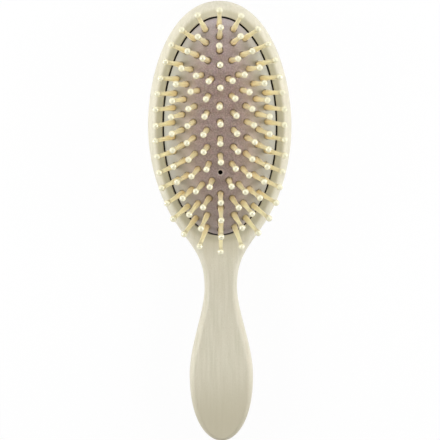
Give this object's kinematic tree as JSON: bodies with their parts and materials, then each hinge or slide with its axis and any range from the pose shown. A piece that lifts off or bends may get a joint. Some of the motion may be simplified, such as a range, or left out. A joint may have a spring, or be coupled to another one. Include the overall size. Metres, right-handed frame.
{
  "type": "cushion hair brush",
  "caption": "Oval cushion hair brush: ball-tipped wooden pins that press into a domed rubber air cushion, set in a one-piece flat-backed head and waisted handle.",
  "frame": {"origin": "under the middle of the brush, on the plane of the flat back that it rests on", "axes": "+Z out of the flat back towards the pin tips, +Y from the handle towards the crown of the head, +X to the right as seen from the pin side with the head up"},
  "size_m": [0.075, 0.235, 0.0456],
  "materials": {
    "pale_fibre_wood": "fine-sanded pale greige fibre wood, matte with a slight sheen on the rounded edges",
    "grey_rubber": "matte mauve-grey moulded rubber",
    "waxed_pin_wood": "turned pale wood with a clear waxed coat, creamy and glossy at the ball tip"
  },
  "bodies": {
    "handle_body": {"brush_body": "pale_fibre_wood", "air_cushion": "grey_rubber"},
    "centre_pin_1": {"centre_pin_1": "waxed_pin_wood"},
    "centre_pin_2": {"centre_pin_2": "waxed_pin_wood"},
    "centre_pin_3": {"centre_pin_3": "waxed_pin_wood"},
    "centre_pin_4": {"centre_pin_4": "waxed_pin_wood"},
    "centre_pin_5": {"centre_pin_5": "waxed_pin_wood"},
    "row1_pins_01": {"row1_pins_01": "waxed_pin_wood"},
    "row1_pins_02": {"row1_pins_02": "waxed_pin_wood"},
    "row1_pins_03": {"row1_pins_03": "waxed_pin_wood"},
    "row1_pins_04": {"row1_pins_04": "waxed_pin_wood"},
    "row1_pins_05": {"row1_pins_05": "waxed_pin_wood"},
    "row1_pins_06": {"row1_pins_06": "waxed_pin_wood"},
    "row1_pins_07": {"row1_pins_07": "waxed_pin_wood"},
    "row1_pins_08": {"row1_pins_08": "waxed_pin_wood"},
    "row1_pins_09": {"row1_pins_09": "waxed_pin_wood"},
    "row1_pins_10": {"row1_pins_10": "waxed_pin_wood"},
    "row1_pins_11": {"row1_pins_11": "waxed_pin_wood"},
    "row1_pins_12": {"row1_pins_12": "waxed_pin_wood"},
    "row1_pins_13": {"row1_pins_13": "waxed_pin_wood"},
    "row1_pins_14": {"row1_pins_14": "waxed_pin_wood"},
    "row1_pins_15": {"row1_pins_15": "waxed_pin_wood"},
    "row1_pins_16": {"row1_pins_16": "waxed_pin_wood"},
    "row1_pins_17": {"row1_pins_17": "waxed_pin_wood"},
    "row2_pins_01": {"row2_pins_01": "waxed_pin_wood"},
    "row2_pins_02": {"row2_pins_02": "waxed_pin_wood"},
    "row2_pins_03": {"row2_pins_03": "waxed_pin_wood"},
    "row2_pins_04": {"row2_pins_04": "waxed_pin_wood"},
    "row2_pins_05": {"row2_pins_05": "waxed_pin_wood"},
    "row2_pins_06": {"row2_pins_06": "waxed_pin_wood"},
    "row2_pins_07": {"row2_pins_07": "waxed_pin_wood"},
    "row2_pins_08": {"row2_pins_08": "waxed_pin_wood"},
    "row2_pins_09": {"row2_pins_09": "waxed_pin_wood"},
    "row2_pins_10": {"row2_pins_10": "waxed_pin_wood"},
    "row2_pins_11": {"row2_pins_11": "waxed_pin_wood"},
    "row2_pins_12": {"row2_pins_12": "waxed_pin_wood"},
    "row2_pins_13": {"row2_pins_13": "waxed_pin_wood"},
    "row2_pins_14": {"row2_pins_14": "waxed_pin_wood"},
    "row3_pins_01": {"row3_pins_01": "waxed_pin_wood"},
    "row3_pins_02": {"row3_pins_02": "waxed_pin_wood"},
    "row3_pins_03": {"row3_pins_03": "waxed_pin_wood"},
    "row3_pins_04": {"row3_pins_04": "waxed_pin_wood"},
    "row3_pins_05": {"row3_pins_05": "waxed_pin_wood"},
    "row3_pins_06": {"row3_pins_06": "waxed_pin_wood"},
    "row3_pins_07": {"row3_pins_07": "waxed_pin_wood"},
    "row3_pins_08": {"row3_pins_08": "waxed_pin_wood"},
    "row3_pins_09": {"row3_pins_09": "waxed_pin_wood"},
    "row3_pins_10": {"row3_pins_10": "waxed_pin_wood"},
    "row3_pins_11": {"row3_pins_11": "waxed_pin_wood"},
    "row4_pins_01": {"row4_pins_01": "waxed_pin_wood"},
    "row4_pins_02": {"row4_pins_02": "waxed_pin_wood"},
    "row4_pins_03": {"row4_pins_03": "waxed_pin_wood"},
    "row4_pins_04": {"row4_pins_04": "waxed_pin_wood"},
    "row4_pins_05": {"row4_pins_05": "waxed_pin_wood"},
    "row4_pins_06": {"row4_pins_06": "waxed_pin_wood"},
    "row4_pins_07": {"row4_pins_07": "waxed_pin_wood"},
    "row4_pins_08": {"row4_pins_08": "waxed_pin_wood"}
  },
  "joints": [
    {"name": "centre_pin_1_press", "type": "slide", "parent": "handle_body", "child": "centre_pin_1", "axis": [0, -0.0519, -0.9986], "range_m": [0, 0.004], "stiffness_N_per_m": 200, "deforming": ["air_cushion"]},
    {"name": "centre_pin_2_press", "type": "slide", "parent": "handle_body", "child": "centre_pin_2", "axis": [0, -0.0305, -0.9995], "range_m": [0, 0.004], "stiffness_N_per_m": 200, "deforming": ["air_cushion"]},
    {"name": "centre_pin_3_press", "type": "slide", "parent": "handle_body", "child": "centre_pin_3", "axis": [0, -0.0091, -1], "range_m": [0, 0.004], "stiffness_N_per_m": 200, "deforming": ["air_cushion"]},
    {"name": "centre_pin_4_press", "type": "slide", "parent": "handle_body", "child": "centre_pin_4", "axis": [0, 0.0123, -0.9999], "range_m": [0, 0.004], "stiffness_N_per_m": 200, "deforming": ["air_cushion"]},
    {"name": "centre_pin_5_press", "type": "slide", "parent": "handle_body", "child": "centre_pin_5", "axis": [0, 0.0337, -0.9994], "range_m": [0, 0.004], "stiffness_N_per_m": 200, "deforming": ["air_cushion"]},
    {"name": "row1_pins_01_press", "type": "slide", "parent": "handle_body", "child": "row1_pins_01", "axis": [0.0928, -0.3799, -0.9204], "range_m": [0, 0.0012], "stiffness_N_per_m": 500, "deforming": ["air_cushion"]},
    {"name": "row1_pins_02_press", "type": "slide", "parent": "handle_body", "child": "row1_pins_02", "axis": [0.3313, -0.2215, -0.9172], "range_m": [0, 0.0012], "stiffness_N_per_m": 500, "deforming": ["air_cushion"]},
    {"name": "row1_pins_03_press", "type": "slide", "parent": "handle_body", "child": "row1_pins_03", "axis": [0.3853, -0.1085, -0.9164], "range_m": [0, 0.0012], "stiffness_N_per_m": 500, "deforming": ["air_cushion"]},
    {"name": "row1_pins_04_press", "type": "slide", "parent": "handle_body", "child": "row1_pins_04", "axis": [0.3983, -0.0427, -0.9163], "range_m": [0, 0.0012], "stiffness_N_per_m": 500, "deforming": ["air_cushion"]},
    {"name": "row1_pins_05_press", "type": "slide", "parent": "handle_body", "child": "row1_pins_05", "axis": [0.4007, 0, -0.9162], "range_m": [0, 0.0012], "stiffness_N_per_m": 500, "deforming": ["air_cushion"]},
    {"name": "row1_pins_06_press", "type": "slide", "parent": "handle_body", "child": "row1_pins_06", "axis": [0.3983, 0.0427, -0.9163], "range_m": [0, 0.0012], "stiffness_N_per_m": 500, "deforming": ["air_cushion"]},
    {"name": "row1_pins_07_press", "type": "slide", "parent": "handle_body", "child": "row1_pins_07", "axis": [0.3853, 0.1085, -0.9164], "range_m": [0, 0.0012], "stiffness_N_per_m": 500, "deforming": ["air_cushion"]},
    {"name": "row1_pins_08_press", "type": "slide", "parent": "handle_body", "child": "row1_pins_08", "axis": [0.3313, 0.2215, -0.9172], "range_m": [0, 0.0012], "stiffness_N_per_m": 500, "deforming": ["air_cushion"]},
    {"name": "row1_pins_09_press", "type": "slide", "parent": "handle_body", "child": "row1_pins_09", "axis": [0.0928, 0.3799, -0.9204], "range_m": [0, 0.0012], "stiffness_N_per_m": 500, "deforming": ["air_cushion"]},
    {"name": "row1_pins_10_press", "type": "slide", "parent": "handle_body", "child": "row1_pins_10", "axis": [-0.2458, 0.3084, -0.9189], "range_m": [0, 0.0012], "stiffness_N_per_m": 500, "deforming": ["air_cushion"]},
    {"name": "row1_pins_11_press", "type": "slide", "parent": "handle_body", "child": "row1_pins_11", "axis": [-0.3681, 0.156, -0.9166], "range_m": [0, 0.0012], "stiffness_N_per_m": 500, "deforming": ["air_cushion"]},
    {"name": "row1_pins_12_press", "type": "slide", "parent": "handle_body", "child": "row1_pins_12", "axis": [-0.3939, 0.0721, -0.9163], "range_m": [0, 0.0012], "stiffness_N_per_m": 500, "deforming": ["air_cushion"]},
    {"name": "row1_pins_13_press", "type": "slide", "parent": "handle_body", "child": "row1_pins_13", "axis": [-0.4002, 0.0186, -0.9162], "range_m": [0, 0.0012], "stiffness_N_per_m": 500, "deforming": ["air_cushion"]},
    {"name": "row1_pins_14_press", "type": "slide", "parent": "handle_body", "child": "row1_pins_14", "axis": [-0.4002, -0.0186, -0.9162], "range_m": [0, 0.0012], "stiffness_N_per_m": 500, "deforming": ["air_cushion"]},
    {"name": "row1_pins_15_press", "type": "slide", "parent": "handle_body", "child": "row1_pins_15", "axis": [-0.3939, -0.0721, -0.9163], "range_m": [0, 0.0012], "stiffness_N_per_m": 500, "deforming": ["air_cushion"]},
    {"name": "row1_pins_16_press", "type": "slide", "parent": "handle_body", "child": "row1_pins_16", "axis": [-0.3681, -0.156, -0.9166], "range_m": [0, 0.0012], "stiffness_N_per_m": 500, "deforming": ["air_cushion"]},
    {"name": "row1_pins_17_press", "type": "slide", "parent": "handle_body", "child": "row1_pins_17", "axis": [-0.2458, -0.3084, -0.9189], "range_m": [0, 0.0012], "stiffness_N_per_m": 500, "deforming": ["air_cushion"]},
    {"name": "row2_pins_01_press", "type": "slide", "parent": "handle_body", "child": "row2_pins_01", "axis": [0.0847, -0.2166, -0.9726], "range_m": [0, 0.0022], "stiffness_N_per_m": 400, "deforming": ["air_cushion"]},
    {"name": "row2_pins_02_press", "type": "slide", "parent": "handle_body", "child": "row2_pins_02", "axis": [0.2259, -0.1021, -0.9688], "range_m": [0, 0.0022], "stiffness_N_per_m": 400, "deforming": ["air_cushion"]},
    {"name": "row2_pins_03_press", "type": "slide", "parent": "handle_body", "child": "row2_pins_03", "axis": [0.2441, -0.0461, -0.9686], "range_m": [0, 0.0022], "stiffness_N_per_m": 400, "deforming": ["air_cushion"]},
    {"name": "row2_pins_04_press", "type": "slide", "parent": "handle_body", "child": "row2_pins_04", "axis": [0.2484, -0.0086, -0.9686], "range_m": [0, 0.0022], "stiffness_N_per_m": 400, "deforming": ["air_cushion"]},
    {"name": "row2_pins_05_press", "type": "slide", "parent": "handle_body", "child": "row2_pins_05", "axis": [0.2471, 0.0264, -0.9686], "range_m": [0, 0.0022], "stiffness_N_per_m": 400, "deforming": ["air_cushion"]},
    {"name": "row2_pins_06_press", "type": "slide", "parent": "handle_body", "child": "row2_pins_06", "axis": [0.2382, 0.0699, -0.9687], "range_m": [0, 0.0022], "stiffness_N_per_m": 400, "deforming": ["air_cushion"]},
    {"name": "row2_pins_07_press", "type": "slide", "parent": "handle_body", "child": "row2_pins_07", "axis": [0.1932, 0.1519, -0.9693], "range_m": [0, 0.0022], "stiffness_N_per_m": 400, "deforming": ["air_cushion"]},
    {"name": "row2_pins_08_press", "type": "slide", "parent": "handle_body", "child": "row2_pins_08", "axis": [-0.0847, 0.2166, -0.9726], "range_m": [0, 0.0022], "stiffness_N_per_m": 400, "deforming": ["air_cushion"]},
    {"name": "row2_pins_09_press", "type": "slide", "parent": "handle_body", "child": "row2_pins_09", "axis": [-0.2259, 0.1021, -0.9688], "range_m": [0, 0.0022], "stiffness_N_per_m": 400, "deforming": ["air_cushion"]},
    {"name": "row2_pins_10_press", "type": "slide", "parent": "handle_body", "child": "row2_pins_10", "axis": [-0.2441, 0.0461, -0.9686], "range_m": [0, 0.0022], "stiffness_N_per_m": 400, "deforming": ["air_cushion"]},
    {"name": "row2_pins_11_press", "type": "slide", "parent": "handle_body", "child": "row2_pins_11", "axis": [-0.2484, 0.0086, -0.9686], "range_m": [0, 0.0022], "stiffness_N_per_m": 400, "deforming": ["air_cushion"]},
    {"name": "row2_pins_12_press", "type": "slide", "parent": "handle_body", "child": "row2_pins_12", "axis": [-0.2471, -0.0264, -0.9686], "range_m": [0, 0.0022], "stiffness_N_per_m": 400, "deforming": ["air_cushion"]},
    {"name": "row2_pins_13_press", "type": "slide", "parent": "handle_body", "child": "row2_pins_13", "axis": [-0.2382, -0.0699, -0.9687], "range_m": [0, 0.0022], "stiffness_N_per_m": 400, "deforming": ["air_cushion"]},
    {"name": "row2_pins_14_press", "type": "slide", "parent": "handle_body", "child": "row2_pins_14", "axis": [-0.1932, -0.1519, -0.9693], "range_m": [0, 0.0022], "stiffness_N_per_m": 400, "deforming": ["air_cushion"]},
    {"name": "row3_pins_01_press", "type": "slide", "parent": "handle_body", "child": "row3_pins_01", "axis": [0.0639, -0.1146, -0.9914], "range_m": [0, 0.003], "stiffness_N_per_m": 300, "deforming": ["air_cushion"]},
    {"name": "row3_pins_02_press", "type": "slide", "parent": "handle_body", "child": "row3_pins_02", "axis": [0.1439, -0.0407, -0.9888], "range_m": [0, 0.003], "stiffness_N_per_m": 300, "deforming": ["air_cushion"]},
    {"name": "row3_pins_03_press", "type": "slide", "parent": "handle_body", "child": "row3_pins_03", "axis": [0.149, -0.0133, -0.9887], "range_m": [0, 0.003], "stiffness_N_per_m": 300, "deforming": ["air_cushion"]},
    {"name": "row3_pins_04_press", "type": "slide", "parent": "handle_body", "child": "row3_pins_04", "axis": [0.149, 0.0133, -0.9887], "range_m": [0, 0.003], "stiffness_N_per_m": 300, "deforming": ["air_cushion"]},
    {"name": "row3_pins_05_press", "type": "slide", "parent": "handle_body", "child": "row3_pins_05", "axis": [0.1439, 0.0407, -0.9888], "range_m": [0, 0.003], "stiffness_N_per_m": 300, "deforming": ["air_cushion"]},
    {"name": "row3_pins_06_press", "type": "slide", "parent": "handle_body", "child": "row3_pins_06", "axis": [0.0639, 0.1146, -0.9914], "range_m": [0, 0.003], "stiffness_N_per_m": 300, "deforming": ["air_cushion"]},
    {"name": "row3_pins_07_press", "type": "slide", "parent": "handle_body", "child": "row3_pins_07", "axis": [-0.1344, 0.064, -0.9889], "range_m": [0, 0.003], "stiffness_N_per_m": 300, "deforming": ["air_cushion"]},
    {"name": "row3_pins_08_press", "type": "slide", "parent": "handle_body", "child": "row3_pins_08", "axis": [-0.1474, 0.0258, -0.9887], "range_m": [0, 0.003], "stiffness_N_per_m": 300, "deforming": ["air_cushion"]},
    {"name": "row3_pins_09_press", "type": "slide", "parent": "handle_body", "child": "row3_pins_09", "axis": [-0.1496, 0, -0.9887], "range_m": [0, 0.003], "stiffness_N_per_m": 300, "deforming": ["air_cushion"]},
    {"name": "row3_pins_10_press", "type": "slide", "parent": "handle_body", "child": "row3_pins_10", "axis": [-0.1474, -0.0258, -0.9887], "range_m": [0, 0.003], "stiffness_N_per_m": 300, "deforming": ["air_cushion"]},
    {"name": "row3_pins_11_press", "type": "slide", "parent": "handle_body", "child": "row3_pins_11", "axis": [-0.1344, -0.064, -0.9889], "range_m": [0, 0.003], "stiffness_N_per_m": 300, "deforming": ["air_cushion"]},
    {"name": "row4_pins_01_press", "type": "slide", "parent": "handle_body", "child": "row4_pins_01", "axis": [0.0333, -0.0434, -0.9985], "range_m": [0, 0.0036], "stiffness_N_per_m": 250, "deforming": ["air_cushion"]},
    {"name": "row4_pins_02_press", "type": "slide", "parent": "handle_body", "child": "row4_pins_02", "axis": [0.0686, -0.0062, -0.9976], "range_m": [0, 0.0036], "stiffness_N_per_m": 250, "deforming": ["air_cushion"]},
    {"name": "row4_pins_03_press", "type": "slide", "parent": "handle_body", "child": "row4_pins_03", "axis": [0.0688, 0.0019, -0.9976], "range_m": [0, 0.0036], "stiffness_N_per_m": 250, "deforming": ["air_cushion"]},
    {"name": "row4_pins_04_press", "type": "slide", "parent": "handle_body", "child": "row4_pins_04", "axis": [0.0674, 0.0132, -0.9976], "range_m": [0, 0.0036], "stiffness_N_per_m": 250, "deforming": ["air_cushion"]},
    {"name": "row4_pins_05_press", "type": "slide", "parent": "handle_body", "child": "row4_pins_05", "axis": [-0.0333, 0.0434, -0.9985], "range_m": [0, 0.0036], "stiffness_N_per_m": 250, "deforming": ["air_cushion"]},
    {"name": "row4_pins_06_press", "type": "slide", "parent": "handle_body", "child": "row4_pins_06", "axis": [-0.0686, 0.0062, -0.9976], "range_m": [0, 0.0036], "stiffness_N_per_m": 250, "deforming": ["air_cushion"]},
    {"name": "row4_pins_07_press", "type": "slide", "parent": "handle_body", "child": "row4_pins_07", "axis": [-0.0688, -0.0019, -0.9976], "range_m": [0, 0.0036], "stiffness_N_per_m": 250, "deforming": ["air_cushion"]},
    {"name": "row4_pins_08_press", "type": "slide", "parent": "handle_body", "child": "row4_pins_08", "axis": [-0.0674, -0.0132, -0.9976], "range_m": [0, 0.0036], "stiffness_N_per_m": 250, "deforming": ["air_cushion"]}
  ]
}
